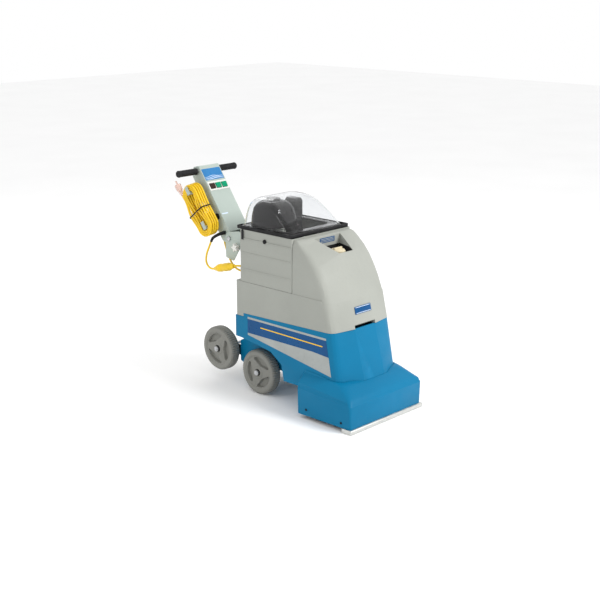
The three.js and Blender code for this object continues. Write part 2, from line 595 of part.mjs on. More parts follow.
function rocker() {
  const { width, height } = ROCKER;
  const side = outline([[-8.5, -height / 2 + 1], [-10.8, height / 2 - 1], [3, height / 2 - 3], [6, 0],
    [3, -height / 2 + 3]]);
  return acrossX(side, -width / 2, width / 2);
}

function cordHook(z) {
  const { y } = HANK;
  const face = -BOX.half - GAP;
  const arm = rodX(8, HANK.x0 - 7, face - 2, y, z, 14);
  const foot = box(face - 3, face, y - 20, y + 10, z - 12, z + 12);
  const end = box(HANK.x0 - 8, HANK.x0 - 3, y - 9, y + 9, z - 9, z + 30);
  return join(arm, foot, end);
}

function starKnob() {
  const lobes = new THREE.Shape();
  const count = 5;
  for (let i = 0; i <= 8 * count; i += 1) {
    const angle = 2 * Math.PI * i / (8 * count);
    const radius = 15 + 5 * Math.cos(count * angle);
    const [u, v] = [radius * Math.cos(angle), radius * Math.sin(angle)];
    if (i === 0) lobes.moveTo(u, v);
    else if (i < 8 * count) lobes.lineTo(u, v);
  }
  lobes.closePath();
  return join(acrossX(lobes, -26, -8), rodX(9, -9, 0, 0, 0, 14));
}

// ---- cords -------------------------------------------------------------------------------------
// Console-frame point to machine stations, so the cords' routes can all be given in one frame.
function fromConsole([x, y, z]) {
  const [sin, cos] = [Math.sin(LEAN), Math.cos(LEAN)];
  return [x, PIVOT.y + y * cos + z * sin, PIVOT.z - y * sin + z * cos];
}

const BOOT = [fromConsole([-62, BOOT_HOLE.y, BOOT_HOLE.z]), [-76, 416, 677], [-89, 431, 669],
  [-99, 451, 654], [-103, 459.6, 637]];
const PIGTAIL = [[-103.4, 460.7, 635.2], [-103.8, 468.5, 619.5], [-104.2, 477.5, 601.5], [-104.5, 486.2, 584],
  [-104.5, 492.4, 566], [-104.2, 495.7, 546], [-103.6, 492.2, 529], [-102.6, 482, 516.4],
  [-101.4, 467.3, 509.6], [-100.3, 450.8, 510], [-100, 443, 512]];
const CONNECTOR_ENDS = [[-100, 442, 512.3], [-100, 313, 546.3]];
const LEAD = [[-100, 312.2, 546.6], [-100, 304.5, 548.7], [-95.8, 286.3, 551.1], [-84, 271.9, 548.5],
  [-68, 265, 541.5], [-52, 267.5, 532], [-40.2, 278.8, 522.5], [-36, 295.7, 515.7], [-35, 330, 509],
  [-34, 366, 513], [-32, 397, 530], [-29, 421, 557], [-26, 441, 590], [-22, 458, 624],
  ...[[-16, 68, 66], [-14, 67, 95], [-17, 68, 120], [-26, 71, 145], [-40, 76, 170], [-55, 81, 193],
    [-67, 85, 212], [-73.5, 87.5, 226]].map(fromConsole)];

// The hank seen along X: two round ends joined by runs that sag to the rear.
function hankOutline(radius) {
  const { y, low, high } = HANK;
  const middle = (low + high) / 2;
  const shape = new THREE.Shape();
  shape.absarc(y, high, radius, 0, Math.PI);
  shape.quadraticCurveTo(y - radius + 2 * HANK_SAG.front, middle, y - radius, low);
  shape.absarc(y, low, radius, Math.PI, 2 * Math.PI);
  shape.quadraticCurveTo(y + radius + 2 * HANK_SAG.rear, middle, y + radius, high);
  return shape;
}

function cordHank() {
  const shape = hankOutline(HANK.outer);
  shape.holes.push(hankOutline(HANK.inner));
  const slab = acrossX(shape, HANK.x0, HANK.x1, 10);
  const middle = (HANK.x0 + HANK.x1) / 2;
  const shear = new THREE.Matrix4().makeShear(-HANK.lean, 0, 0, 0, 0, 0);
  return slab.translate(-middle, 0, 0).applyMatrix4(shear).translate(middle, 0, 0);
}

const group = new THREE.Group();
group.position.set(0, ORIGIN_SHIFT, 0);

function add(parent, name, geometry, finish, place = [0, 0, 0]) {
  const mesh = piece(name, geometry, finish);
  mesh.position.set(...place);
  parent.add(mesh);
  return mesh;
}

// base
add(group, 'base_shell', baseShell(), 'blue');
add(group, 'brush_hood', brushHood(), 'blue');
add(group, 'vacuum_shoe', vacuumShoe(), 'alloy');
for (const [name, side] of SIDES) {
  add(group, `front_axle_block_${name}`, frontAxleBlock(side), 'steel');
  add(group, `rear_axle_bracket_${name}`, rearAxleBracket(side), 'steel');
  add(group, `brush_bearing_${name}`, brushBearing(side), 'rim');
  const centre = side * (WHEEL.outer - WHEEL.width / 2);
  for (const [end, z] of [['front', WHEEL.radius], ['rear', WHEEL.rearZ]]) {
    const wheel = wheelBody(WHEEL_TURN[end]);
    const facing = side > 0 ? wheel : closed(wheel.clone().scale(-1, 1, 1));
    add(group, `wheel_${end}_${name}`, facing, 'wheel', [centre, WHEEL[end], z]);
  }
}
add(group, 'front_axle', axleWithNuts(WHEEL.front, WHEEL.radius), 'steel');
add(group, 'rear_axle', axleWithNuts(WHEEL.rear, WHEEL.rearZ), 'steel');
add(group, 'brush_roller', brushRoller(), 'bristle');
add(group, 'brush_pulley', pulley(PULLEY.brushR, PULLEY.x1 + 12, BRUSH.y, BRUSH.z), 'rim');
add(group, 'motor_pulley', pulley(PULLEY.motorR, PULLEY.x1 + 4, MOTOR.y, MOTOR.z), 'steel');
add(group, 'drive_belt', driveBelt(), 'rubber');
add(group, 'brush_motor', brushMotor(), 'rim');
add(group, 'vacuum_motor', vacuumMotor(), 'steel');
add(group, 'solution_pump', solutionPump(), 'rim');
add(group, 'spray_bar', sprayBar(), 'steel');
add(group, 'vacuum_hose', tube(HOSE, HOSE_R, 20, 8), 'rubber');

// solution tank with its cap and labels
add(group, 'solution_tank', solutionTank(), 'grey');
add(group, 'fill_cap', fillCap(), 'beige', [0, FILLER.y, FILLER.floor + GAP]);
const plateTilt = new THREE.Group();
plateTilt.position.set(0, -363.8, 461.3);
plateTilt.rotation.x = -Math.atan(35.5 / 146);
group.add(plateTilt);
add(plateTilt, 'nameplate', box(-50, 50, -1, 1, -15.5, 15.5), 'label');

// recovery tank, lid and what is under the dome
add(group, 'recovery_tank', recoveryTank(), 'grey');
add(group, 'standpipe', standpipe(), 'grey');
add(group, 'float_cage', floatCage(), 'white');
const floatSeat = [FLOAT.x, FLOAT.y, 570 + GAP + FLOAT.ball];
add(group, 'float_ball', new THREE.SphereGeometry(FLOAT.ball, 12, 8), 'white', floatSeat);
add(group, 'inlet_duct', inletDuct(), 'grey');
add(group, 'lid_frame', lidFrame(), 'rim');
add(group, 'lid_plate', lidPlate(), 'smoke');
add(group, 'dome', dome(), 'clear');
add(group, 'separator_bowl', separatorBowl(), 'smoke');
for (const [name, side] of SIDES) {
  const x = side * (TANK.half + 2.4);
  const strap = join(box(x - 1.6, x + 1.6, 160, 171, 706, 746), rodX(4, x - 2.4, x + 2.4, 165.5, 746));
  add(group, `latch_strap_${name}`, strap, 'rubber');
}

// handle frame and console
add(group, 'handle_frame', handleFrame(), 'sheet');
const console_ = new THREE.Group();
console_.position.set(0, PIVOT.y, PIVOT.z);
console_.rotation.x = -LEAN;
group.add(console_);
add(console_, 'console_shell', consoleShell(), 'sheet');
add(console_, 'console_rear_cover', consoleRearCover(), 'sheet');
add(console_, 'switch_plate', switchPlate(), 'white');
[['power', 'brown'], ['vacuum', 'green'], ['pump', 'green']].forEach(([name, finish], i) => {
  add(console_, `rocker_${name}`, rocker(), finish, [(i - 1) * ROCKER.pitch, ROCKER.y, ROCKER.z]);
});
add(console_, 'handle_bar', rodX(BAR.radius, -BAR.half + 4, BAR.half - 4, BAR.y, BAR.z, 16), 'steel');
for (const [name, side] of SIDES) {
  const [x0, x1] = side < 0 ? [-BAR.half, -BAR.half + BAR.gripLength] : [BAR.half - BAR.gripLength, BAR.half];
  const core = rodX(BAR.radius + 0.4, side < 0 ? x0 + 3.6 : x0 - 1, side < 0 ? x1 + 1 : x1 - 3.6, 0, 0, 16);
  add(console_, `grip_${name}`, cut(rodX(BAR.grip, x0, x1, 0, 0, 16), core), 'rubber', [0, BAR.y, BAR.z]);
}
add(console_, 'cord_hook_upper', cordHook(HANK.high + 10), 'steel');
add(console_, 'cord_hook_lower', cordHook(HANK.low - 10), 'steel');
const socket = join(rodX(12, -BOX.half - 6, -BOX.half + 10, SOCKET.y, SOCKET.z),
  rodX(14.5, -BOX.half - 7, -BOX.half - GAP, SOCKET.y, SOCKET.z, 16));
add(console_, 'side_socket', socket, 'rim');
add(console_, 'reset_button', rodX(6, -BOX.half - 5, -BOX.half + 6, BUTTON.y, BUTTON.z, 14), 'rim');
const heads = [[-CHEEK.outer - 7, -CHEEK.outer - GAP], [CHEEK.outer + GAP, CHEEK.outer + 7]].map(
  ([x0, x1]) => rodX(11, x0, x1, PIVOT.y, PIVOT.z, 6));
const shank = rodX(7, -CHEEK.outer - 1, CHEEK.outer + 1, PIVOT.y, PIVOT.z);
add(group, 'pivot_bolt', join(shank, ...heads), 'steel');
add(group, 'star_knob', starKnob(), 'white', [-CHEEK.outer - GAP, 322, 626]);

// cords: relief boot, pigtail, connector, lead, hank and plug
add(group, 'strain_relief', tube(BOOT, 8.5, 10, 10), 'rubber');
add(group, 'pigtail_cord', tube(PIGTAIL, CORD_R, 20, 8), 'yellow');
const [from, to] = CONNECTOR_ENDS.map((p) => new THREE.Vector3(...p));
const reach = from.distanceTo(to);
const body = turned([[0, 0], [8, 0], [12, 14], [17, 26], [19, 44], [17.5, 62], [19, 74], [19, 100], [14, 112],
  [11, reach - 8], [9, reach], [0, reach]], 'z', 12);
const connector = add(group, 'cord_connector', body, 'yellow', CONNECTOR_ENDS[0]);
connector.quaternion.setFromUnitVectors(new THREE.Vector3(0, 0, 1), to.clone().sub(from).normalize());
add(group, 'mains_lead', tube(LEAD, CORD_R, 44, 8), 'yellow');
add(console_, 'cord_hank', cordHank(), 'yellow');
const plug = turned([[0, 0], [6, 0], [9, 10], [10, 22], [15, 32], [16, 54], [11, 58], [4, 59], [4, 76],
  [0, 76]], 'z', 12);
add(console_, 'mains_plug', plug, 'clear', [-114, 109, 288]);

export default group;
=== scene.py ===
import math
import random

import bmesh
import bpy
from mathutils import Matrix, Vector, noise


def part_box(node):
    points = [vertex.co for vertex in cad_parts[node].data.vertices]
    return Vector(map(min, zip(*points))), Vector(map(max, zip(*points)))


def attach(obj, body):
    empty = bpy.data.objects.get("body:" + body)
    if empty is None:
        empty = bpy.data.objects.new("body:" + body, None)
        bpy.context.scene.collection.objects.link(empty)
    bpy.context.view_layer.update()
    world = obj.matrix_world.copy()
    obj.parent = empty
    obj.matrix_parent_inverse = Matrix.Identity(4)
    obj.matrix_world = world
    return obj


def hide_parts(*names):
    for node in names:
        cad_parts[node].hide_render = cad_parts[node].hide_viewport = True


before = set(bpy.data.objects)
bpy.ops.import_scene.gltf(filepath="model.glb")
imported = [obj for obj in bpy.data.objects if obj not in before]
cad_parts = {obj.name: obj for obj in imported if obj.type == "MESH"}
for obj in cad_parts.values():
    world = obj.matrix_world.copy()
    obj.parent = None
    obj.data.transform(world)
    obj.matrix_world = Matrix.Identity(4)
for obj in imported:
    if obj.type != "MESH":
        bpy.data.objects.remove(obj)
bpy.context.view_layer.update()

MM = 0.001
SHOE_FRONT_MM = -511
STATION_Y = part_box("vacuum_shoe")[0].y - SHOE_FRONT_MM * MM
PIVOT_MM = (0, 380, 657)
LEAN = math.radians(36)
RNG = random.Random(7)


def station(x, y, z):
    return Vector((x * MM, y * MM + STATION_Y, z * MM))


def console(x, y, z):
    """A point given in the leaning console's own frame, in millimetres."""
    turned_y = y * math.cos(LEAN) + z * math.sin(LEAN)
    turned_z = z * math.cos(LEAN) - y * math.sin(LEAN)
    return station(x, PIVOT_MM[1] + turned_y, PIVOT_MM[2] + turned_z)


# ---- camera ------------------------------------------------------------------------------------
def make_camera():
    data = bpy.data.cameras.new("camera")
    data.lens = 70.58
    data.sensor_width = 36
    data.clip_end = 50
    camera = bpy.data.objects.new("camera", data)
    bpy.context.scene.collection.objects.link(camera)
    camera.location = station(-3592, -3440, 1820)
    aim = station(0, 0, 428.6) - camera.location
    camera.rotation_euler = aim.to_track_quat("-Z", "Y").to_euler()
    bpy.context.scene.camera = camera


make_camera()


# ---- materials ---------------------------------------------------------------------------------
class Nodes:
    """Small builder for one node material."""

    def __init__(self, name):
        self.material = bpy.data.materials.new(name)
        self.material.use_nodes = True
        self.tree = self.material.node_tree
        self.shader = self.tree.nodes["Principled BSDF"]
        self.place = self.add("ShaderNodeTexCoord").outputs["Object"]

    def add(self, kind, **values):
        node = self.tree.nodes.new(kind)
        for key, value in values.items():
            setattr(node, key, value)
        return node

    def link(self, out, socket):
        self.tree.links.new(out, socket)

    def stretched(self, scale):
        mapping = self.add("ShaderNodeMapping")
        mapping.inputs["Scale"].default_value = scale
        self.link(self.place, mapping.inputs["Vector"])
        return mapping.outputs["Vector"]

    def noise(self, scale, detail=3.0, where=None):
        node = self.add("ShaderNodeTexNoise")
        node.inputs["Scale"].default_value = scale
        node.inputs["Detail"].default_value = detail
        self.link(where or self.place, node.inputs["Vector"])
        return node.outputs["Fac"]

    def ramp(self, value, stops):
        node = self.add("ShaderNodeValToRGB")
        self.link(value, node.inputs["Fac"])
        ramp = node.color_ramp
        while len(ramp.elements) < len(stops):
            ramp.elements.new(0.5)
        for element, (at, colour) in zip(ramp.elements, stops):
            element.position = at
            element.color = (*colour, 1)
        return node.outputs["Color"]

    def between(self, value, low, high, from_low=0.3, from_high=0.7):
        node = self.add("ShaderNodeMapRange")
        self.link(value, node.inputs["Value"])
        limits = {"From Min": from_low, "From Max": from_high, "To Min": low, "To Max": high}
        for key, number in limits.items():
            node.inputs[key].default_value = number
        return node.outputs["Result"]

    def mix(self, factor, first, second, blend="MIX"):
        node = self.add("ShaderNodeMix", data_type="RGBA", blend_type=blend)
        for value, key in ((factor, "Factor"), (first, "A"), (second, "B")):
            socket = node.inputs[key]
            if isinstance(value, (int, float)):
                socket.default_value = value
            elif isinstance(value, tuple):
                socket.default_value = (*value, 1)
            else:
                self.link(value, socket)
        return node.outputs["Result"]

    def bump(self, height, strength, distance):
        node = self.add("ShaderNodeBump")
        node.inputs["Strength"].default_value = strength
        node.inputs["Distance"].default_value = distance
        self.link(height, node.inputs["Height"])
        self.link(node.outputs["Normal"], self.shader.inputs["Normal"])

    def edges(self, start=0.53, end=0.6):
        return self.between(self.add("ShaderNodeNewGeometry").outputs["Pointiness"], 0.0, 1.0, start, end)


def shade(colour, factor):
    return tuple(min(1.0, c * factor) for c in colour)


def moulded_plastic(name, colour, roughness=0.45, grain=420, depth=0.35, wear=0.25, specular=0.14):
    """Rotomoulded or injection-moulded plastic: pebbled skin, faint flow marks, rubbed edges."""
    n = Nodes(name)
    flow = n.ramp(n.noise(3.2, 4), [(0.3, shade(colour, 0.93)), (0.7, shade(colour, 1.05))])
    specks = n.between(n.noise(160, 2), 0.0, 0.35, 0.62, 0.74)
    mottled = n.mix(specks, flow, shade(colour, 0.84))
    rubbed = n.noise(24, 3)
    worn = n.add("ShaderNodeMath", operation="MULTIPLY")
    n.link(n.edges(), worn.inputs[0])
    n.link(n.between(rubbed, 0.0, wear, 0.42, 0.6), worn.inputs[1])
    n.link(n.mix(worn.outputs[0], mottled, shade(colour, 1.45)), n.shader.inputs["Base Color"])
    n.link(n.between(n.noise(14, 4), roughness - 0.06, roughness + 0.1), n.shader.inputs["Roughness"])
    n.shader.inputs["Specular IOR Level"].default_value = specular
    n.bump(n.noise(grain, 2), depth, 0.0004)
    return n.material


def metal(name, colour, roughness=0.32, brush=(1, 40, 40), metallic=1.0):
    """Drawn, cast or plated metal with a brushed direction and dull patches."""
    n = Nodes(name)
    lines = n.noise(30, 5, n.stretched(brush))
    tint = n.ramp(lines, [(0.3, shade(colour, 0.82)), (0.7, shade(colour, 1.1))])
    dull = n.between(n.noise(35, 3), 0.0, 0.4, 0.5, 0.7)
    n.link(n.mix(dull, tint, shade(colour, 0.7)), n.shader.inputs["Base Color"])
    n.link(n.between(lines, roughness - 0.08, roughness + 0.14), n.shader.inputs["Roughness"])
    n.shader.inputs["Metallic"].default_value = metallic
    n.bump(lines, 0.12, 0.0003)
    return n.material


def powder_coat(name, colour):
    n = Nodes(name)
    cloud = n.ramp(n.noise(5, 3), [(0.3, shade(colour, 0.95)), (0.7, shade(colour, 1.04))])
    chips = n.between(n.noise(60, 4), 0.0, 0.8, 0.56, 0.62)
    worn = n.add("ShaderNodeMath", operation="MULTIPLY")
    n.link(n.edges(0.56, 0.66), worn.inputs[0])
    n.link(chips, worn.inputs[1])
    n.link(n.mix(worn.outputs[0], cloud, (0.2, 0.2, 0.19)), n.shader.inputs["Base Color"])
    n.link(n.between(n.noise(40, 3), 0.34, 0.48), n.shader.inputs["Roughness"])
    n.bump(n.noise(700, 2), 0.25, 0.0003)
    return n.material


def rubber(name, colour=(0.012, 0.012, 0.013), roughness=0.6, grain=300):
    n = Nodes(name)
    dusty = n.between(n.noise(22, 5), 0.0, 0.35, 0.5, 0.75)
    n.link(n.mix(dusty, colour, shade(tuple(c + 0.012 for c in colour), 2.0)), n.shader.inputs["Base Color"])
    n.link(n.between(n.noise(45, 3), roughness - 0.1, roughness + 0.15), n.shader.inputs["Roughness"])
    n.shader.inputs["Specular IOR Level"].default_value = 0.2
    n.bump(n.noise(grain, 3), 0.3, 0.0004)
    return n.material


def vinyl_cord(name, colour):
    n = Nodes(name)
    tone = n.ramp(n.noise(18, 3), [(0.3, shade(colour, 0.88)), (0.7, shade(colour, 1.06))])
    grime = n.between(n.noise(55, 4), 0.0, 0.35, 0.58, 0.75)
    n.link(n.mix(grime, tone, shade(colour, 0.6)), n.shader.inputs["Base Color"])
    n.link(n.between(n.noise(80, 2), 0.32, 0.5), n.shader.inputs["Roughness"])
    n.bump(n.noise(500, 2), 0.15, 0.0003)
    return n.material


def clear_plastic(name, tint, roughness, transmission=1.0, density=1.46):
    """Thermoformed clear or smoked sheet with faint haze and fine rubbing."""
    n = Nodes(name)
    haze = n.noise(30, 4)
    n.link(n.mix(n.between(haze, 0.0, 0.25), tint, shade(tint, 0.92)), n.shader.inputs["Base Color"])
    n.link(n.between(n.noise(90, 5), roughness, roughness + 0.05, 0.5, 0.8), n.shader.inputs["Roughness"])
    n.shader.inputs["Transmission Weight"].default_value = transmission
    n.shader.inputs["IOR"].default_value = density
    n.bump(n.noise(7, 2), 0.05, 0.002)
    return n.material


def sticker(name, colour, roughness=0.3):
    """Printed vinyl film: dense ink with slight dot variation and fine scratches."""
    n = Nodes(name)
    ink = n.ramp(n.noise(11, 3), [(0.3, shade(colour, 0.92)), (0.7, shade(colour, 1.07))])
    scratch = n.between(n.noise(40, 6, n.stretched((30, 1.5, 14))), 0.0, 0.25, 0.66, 0.74)
    n.link(n.mix(scratch, ink, shade(tuple(c + 0.05 for c in colour), 1.6)), n.shader.inputs["Base Color"])
    n.link(n.between(n.noise(60, 3), roughness - 0.05, roughness + 0.12), n.shader.inputs["Roughness"])
    n.shader.inputs["Specular IOR Level"].default_value = 0.2
    n.bump(n.noise(260, 2), 0.08, 0.0002)
    return n.material


BLUE = (0.0008, 0.152, 0.30)
GREY = (0.325, 0.335, 0.305)
YELLOW = (0.86, 0.56, 0.004)
MATERIALS = {
    "blue": moulded_plastic("blue_polyethylene", BLUE, 0.42, 380, 0.3),
    "grey": moulded_plastic("grey_polyethylene", GREY, 0.5, 380, 0.3, 0.12),
    "black": moulded_plastic("black_moulding", (0.008, 0.008, 0.009), 0.4, 500, 0.3, 0.3),
    "wheel": moulded_plastic("wheel_grey_plastic", (0.225, 0.225, 0.205), 0.55, 300, 0.45, 0.2),
    "beige": moulded_plastic("cap_beige_plastic", (0.60, 0.53, 0.37), 0.5),
    "white": moulded_plastic("white_moulding", (0.72, 0.72, 0.68), 0.32, 600, 0.1, 0.0),
    "brown": moulded_plastic("brown_moulding", (0.035, 0.018, 0.013), 0.25, 600, 0.08, 0.1),
    "green": moulded_plastic("green_moulding", (0.0, 0.27, 0.13), 0.25, 600, 0.08, 0.1),
    "motor": moulded_plastic("motor_casing", (0.03, 0.03, 0.033), 0.5),
    "bristle": moulded_plastic("nylon_bristle", (0.02, 0.05, 0.16), 0.5, 900, 0.3, 0.0),
    "sheet": powder_coat("pale_powder_coat", (0.40, 0.465, 0.425)),
    "steel": metal("zinc_plated_steel", (0.56, 0.57, 0.58), 0.32),
    "alloy": metal("cast_alloy", (0.66, 0.66, 0.63), 0.42, (1, 6, 30), 0.85),
    "rubber": rubber("black_rubber"),
    "yellow": vinyl_cord("yellow_vinyl", YELLOW),
    "clear": clear_plastic("clear_dome_sheet", (0.95, 0.96, 0.97), 0.012, 1.0, 1.3),
    "smoke": clear_plastic("smoked_sheet", (0.004, 0.003, 0.0035), 0.03, 0.3, 1.35),
    "plug": clear_plastic("pale_plug_moulding", (0.9, 0.68, 0.6), 0.25, 0.5),
    "navy": sticker("navy_print", (0.001, 0.065, 0.2)),
    "silver": sticker("light_grey_print", (0.34, 0.36, 0.35)),
    "panel": sticker("panel_blue_print", (0.03, 0.18, 0.42)),
    "pale": sticker("pale_print", (0.62, 0.72, 0.85)),
    "amber": sticker("amber_print", (0.85, 0.52, 0.02)),
}


# ---- mesh tools --------------------------------------------------------------------------------
def link_mesh(name, mesh, body, material, replaces=(), angle=math.radians(35)):
    obj = bpy.data.objects.new(name, mesh)
    bpy.context.scene.collection.objects.link(obj)
    mesh.materials.clear()
    mesh.materials.append(MATERIALS[material])
    mesh.shade_smooth()
    mesh.set_sharp_from_angle(angle=angle)
    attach(obj, body)
    if replaces:
        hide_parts(*replaces)
    return obj


def from_bmesh(name, bm, body, material, replaces=(), angle=math.radians(35)):
    bmesh.ops.recalc_face_normals(bm, faces=bm.faces)
    mesh = bpy.data.meshes.new(name)
    bm.to_mesh(mesh)
    bm.free()
    return link_mesh(name, mesh, body, material, replaces, angle)


def node_bmesh(node):
    bm = bmesh.new()
    bm.from_mesh(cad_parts[node].data)
    bmesh.ops.remove_doubles(bm, verts=bm.verts, dist=2e-5)
    return bm


def with_modifiers(mesh, modifiers):
    """The mesh after a list of (kind, settings) modifiers, applied."""
    holder = bpy.data.objects.new("holder", mesh)
    bpy.context.scene.collection.objects.link(holder)
    for kind, settings in modifiers:
        modifier = holder.modifiers.new(kind, kind)
        for key, value in settings.items():
            setattr(modifier, key, value)
    graph = bpy.context.evaluated_depsgraph_get()
    result = bpy.data.meshes.new_from_object(holder.evaluated_get(graph))
    bpy.data.objects.remove(holder)
    return result


def moulded(node, name, body, material, voxel=0.0035, rounds=4):
    """A soft-edged moulding grown from the CAD solid: fine voxel skin, then eased."""
    bm = node_bmesh(node)
    mesh = bpy.data.meshes.new(name)
    bm.to_mesh(mesh)
    bm.free()
    result = with_modifiers(mesh, [
        ("REMESH", {"mode": "VOXEL", "voxel_size": voxel, "use_smooth_shade": True}),
        ("SMOOTH", {"factor": 0.5, "iterations": rounds}),
    ])
    result.name = name
    return link_mesh(name, result, body, material, (node,), math.radians(60))


def keep_creases(mesh, near, far, behind):
    """Marks the soft folds of a moulding's front panel, which smooth shading would wash out."""
    bm = bmesh.new()
    bm.from_mesh(mesh)
    for edge in bm.edges:
        inside = all(near < abs(v.co.x) < far and v.co.y < behind for v in edge.verts)
        if inside and len(edge.link_faces) == 2 and edge.calc_face_angle() > math.radians(5):
            edge.smooth = False
    bm.to_mesh(mesh)
    bm.free()


def eased(node, name, body, material, width=0.0012, segments=3, angle=math.radians(35)):
    """The CAD solid with every hard edge given a small radius."""
    bm = node_bmesh(node)
    bmesh.ops.dissolve_limit(bm, angle_limit=math.radians(2), verts=bm.verts, edges=bm.edges)
    mesh = bpy.data.meshes.new(name)
    bm.to_mesh(mesh)
    bm.free()
    result = with_modifiers(mesh, [
        ("BEVEL", {"width": width, "segments": segments, "limit_method": "ANGLE",
                   "angle_limit": math.radians(38), "use_clamp_overlap": True}),
    ])
    result.name = name
    return link_mesh(name, result, body, material, (node,), angle)


def smooth_points(points, per_span):
    """Catmull-Rom samples through given points."""
    out = []
    for i in range(len(points) - 1):
        p0 = points[max(i - 1, 0)]
        p1, p2 = points[i], points[i + 1]
        p3 = points[min(i + 2, len(points) - 1)]
        for k in range(per_span):
            t = k / per_span
            out.append(0.5 * ((2 * p1) + (p2 - p0) * t + (2 * p0 - 5 * p1 + 4 * p2 - p3) * t * t
                              + (3 * p1 - p0 - 3 * p2 + p3) * t ** 3))
    out.append(points[-1].copy())
    return out


def cord_curve(name, points, radius, body, material, replaces):
    data = bpy.data.curves.new(name, "CURVE")
    data.dimensions = "3D"
    data.bevel_depth = radius
    data.bevel_resolution = 4
    data.use_fill_caps = True
    spline = data.splines.new("POLY")
    spline.points.add(len(points) - 1)
    for point, place in zip(spline.points, points):
        point.co = (*place, 1)
    spline.use_smooth = True
    data.materials.append(MATERIALS[material])
    obj = bpy.data.objects.new(name, data)
    bpy.context.scene.collection.objects.link(obj)
    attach(obj, body)
    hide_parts(*replaces)
    return obj


def grid_bmesh(rows, closed_rows=True, caps=True):
    """Skin over rows of points; each row is one ring."""
    bm = bmesh.new()
    verts = [[bm.verts.new(p) for p in row] for row in rows]
    size = len(rows[0])
    for a, b in zip(verts, verts[1:]):
        for i in range(size if closed_rows else size - 1):
            j = (i + 1) % size
            bm.faces.new((a[i], a[j], b[j], b[i]))
    if caps:
        bm.faces.new(verts[0][::-1])
        bm.faces.new(verts[-1])
    return bm


def circle_at(place, side, up, radius, sides):
    """Ring of points round a place, in the plane of two unit vectors."""
    angles = [2 * math.pi * i / sides for i in range(sides)]
    return [place + (side * math.cos(angle) + up * math.sin(angle)) * radius for angle in angles]


def heading(line, i):
    """Direction of a line of points at its point i."""
    return (line[min(i + 1, len(line) - 1)] - line[max(i - 1, 0)]).normalized()


def turned_rows(profile, centre, axis, sides):
    """Rings of a turned piece from (radius, distance along axis) pairs in metres."""
    axis = Vector(axis).normalized()
    side = axis.orthogonal().normalized()
    up = axis.cross(side)
    return [circle_at(centre + axis * along, side, up, max(radius, 1e-5), sides) for radius, along in profile]


def turned(name, profile, centre, axis, sides, body, material, replaces=(), angle=math.radians(35)):
    bm = grid_bmesh(turned_rows(profile, centre, axis, sides))
    return from_bmesh(name, bm, body, material, replaces, angle)


def turned_ring(name, profile, centre, axis, sides, body, material):
    """A turned piece with a hole through it: its profile closes on itself."""
    bm = grid_bmesh(turned_rows(profile, centre, axis, sides), caps=False)
    bmesh.ops.remove_doubles(bm, verts=bm.verts, dist=1e-6)
    return from_bmesh(name, bm, body, material)


# ---- cords, which come first -------------------------------------------------------------------
CORD = 0.009
HANK_Y, HANK_LOW, HANK_HIGH = 52, 103, 262
HANK_LEAN = 0.45
HANK_SAG = {"front": 4, "rear": 12}
HANK_RADII = (45, 36, 27)
HANK_LAYERS = (-85.5, -95.2, -104.9, -115.2)
ARC_STEPS = 14
RUN_STEPS = 10

PIGTAIL = [(-103.4, 460.7, 635.2), (-103.8, 468.5, 619.5), (-104.2, 477.5, 601.5), (-104.5, 486.2, 584),
           (-104.5, 492.4, 566), (-104.2, 495.7, 546), (-103.6, 492.2, 529), (-102.6, 482, 516.4),
           (-101.4, 467.3, 509.6), (-100.3, 450.8, 510), (-100, 443, 512)]
LEAD = [(-100, 312.2, 546.6), (-100, 304.5, 548.7), (-95.8, 286.3, 551.1), (-84, 271.9, 548.5),
        (-68, 265, 541.5), (-52, 267.5, 532), (-40.2, 278.8, 522.5), (-36, 295.7, 515.7), (-35, 330, 509),
        (-34, 366, 513), (-32, 397, 530), (-29, 421, 557), (-26, 441, 590), (-22, 458, 624)]
LEAD_BEHIND_CONSOLE = [(-16, 68, 66), (-14, 67, 95), (-17, 68, 120), (-26, 71, 145), (-40, 76, 170),
                       (-55, 81, 193), (-67, 85, 212), (-73.5, 87.5, 226)]
HANK_END = [(-115, 105, 256), (-114.6, 107, 268), (-114.2, 108.4, 278), (-114, 109, 287.3)]


def bowed(radius, share, run):
    """Place of a run at this share of its length: it sags, and the inner turns close the gap."""
    closing = 0.8 * (45 - abs(radius)) * (1 if radius < 0 else -1)
    return radius + (HANK_SAG[run] + closing) * math.sin(math.pi * share) ** 2


def hank_points():
    """Turns wound on the two hooks, layer by layer outward from the console."""
    spots = []
    for k, x in enumerate(HANK_LAYERS):
        radii = HANK_RADII if k % 2 == 0 else HANK_RADII[::-1]
        spots += [(radius, x) for radius in radii]
    path = []

    def lay(x, y, z):
        path.append((x, HANK_Y + y - HANK_LEAN * (x + 100.5), z))

    for turn, (radius, x) in enumerate(spots):
        after = spots[min(turn + 1, len(spots) - 1)]
        sway = [RNG.uniform(-0.5, 0.5) for _ in range(2)]
        for i in range(ARC_STEPS):
            angle = math.pi * i / ARC_STEPS
            lay(x, radius * math.cos(angle), HANK_HIGH + radius * math.sin(angle))
        for i in range(RUN_STEPS):
            share = i / RUN_STEPS
            lay(x + sway[0] * math.sin(math.pi * share) ** 2, bowed(-radius, share, "front"),
                HANK_HIGH + (HANK_LOW - HANK_HIGH) * share)
        for i in range(ARC_STEPS):
            angle = math.pi + math.pi * i / ARC_STEPS
            lay(x, radius * math.cos(angle), HANK_LOW + radius * math.sin(angle))
        last = turn == len(spots) - 1
        for i in range(RUN_STEPS - 1 if last else RUN_STEPS):
            share = i / RUN_STEPS
            ease = share * share * (3 - 2 * share)
            lay(x + (after[1] - x) * ease + sway[1] * math.sin(math.pi * share) ** 2,
                bowed(radius + (after[0] - radius) * ease, share, "rear"),
                HANK_LOW + (HANK_HIGH - HANK_LOW) * share)
    return path


def length_of(points):
    return sum((b - a).length for a, b in zip(points, points[1:]))


